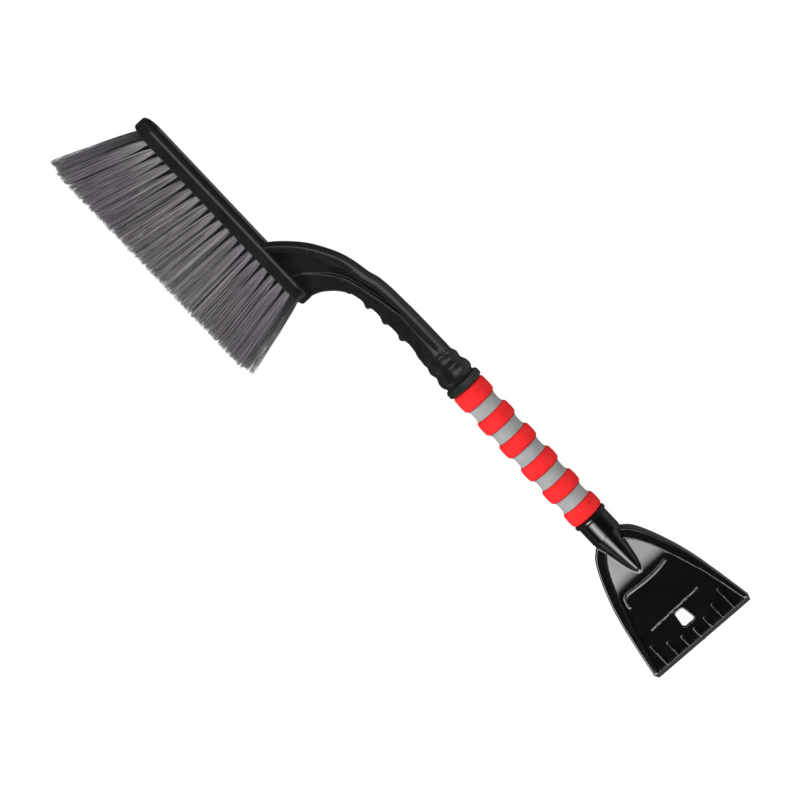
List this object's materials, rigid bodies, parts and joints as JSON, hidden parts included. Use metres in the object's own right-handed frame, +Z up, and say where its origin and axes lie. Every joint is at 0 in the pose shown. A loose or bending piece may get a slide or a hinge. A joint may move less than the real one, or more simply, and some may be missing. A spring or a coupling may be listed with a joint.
{
  "type": "snow brush with ice scraper",
  "caption": "Hand tool with a fanned snow brush on a curved arm, a ringed foam grip and a flat trapezoid ice scraper; the brush pulls out of the handle tube.",
  "frame": {"origin": "bottom centre of the whole tool's box, with the tool lying on its side", "axes": "+X along the handle towards the scraper blade, bristles point along -Y, +Z up out of the surface it lies on"},
  "size_m": [0.7172, 0.1926, 0.037],
  "materials": {
    "satin_black": "satin",
    "gloss_black": "gloss",
    "collar_rubber": "satin",
    "red_foam": "matte",
    "grey_foam": "matte",
    "tube_metal": "satin",
    "bristle": "matte"
  },
  "bodies": {
    "handle": {"handle_tube": "tube_metal", "collar_ring": "collar_rubber", "grip_stop_ring": "gloss_black", "scraper_head": "gloss_black", "grip_red_1": "red_foam", "grip_red_2": "red_foam", "grip_red_3": "red_foam", "grip_red_4": "red_foam", "grip_red_5": "red_foam", "grip_red_6": "red_foam", "grip_grey_1": "grey_foam", "grip_grey_2": "grey_foam", "grip_grey_3": "grey_foam", "grip_grey_4": "grey_foam", "grip_grey_5": "grey_foam"},
    "brush": {"brush_arm": "satin_black", "brush_block": "satin_black", "tuft_01": "bristle", "tuft_02": "bristle", "tuft_03": "bristle", "tuft_04": "bristle", "tuft_05": "bristle", "tuft_06": "bristle", "tuft_07": "bristle", "tuft_08": "bristle", "tuft_09": "bristle", "tuft_10": "bristle", "tuft_11": "bristle", "tuft_12": "bristle", "tuft_13": "bristle", "tuft_14": "bristle", "tuft_15": "bristle", "tuft_16": "bristle", "tuft_17": "bristle", "tuft_18": "bristle", "tuft_19": "bristle", "tuft_20": "bristle", "tuft_21": "bristle", "tuft_22": "bristle"}
  },
  "joints": [
    {"name": "brush_pull", "type": "slide", "parent": "handle", "child": "brush", "axis": [-1, 0, 0], "range_m": [0, 0.08]}
  ]
}
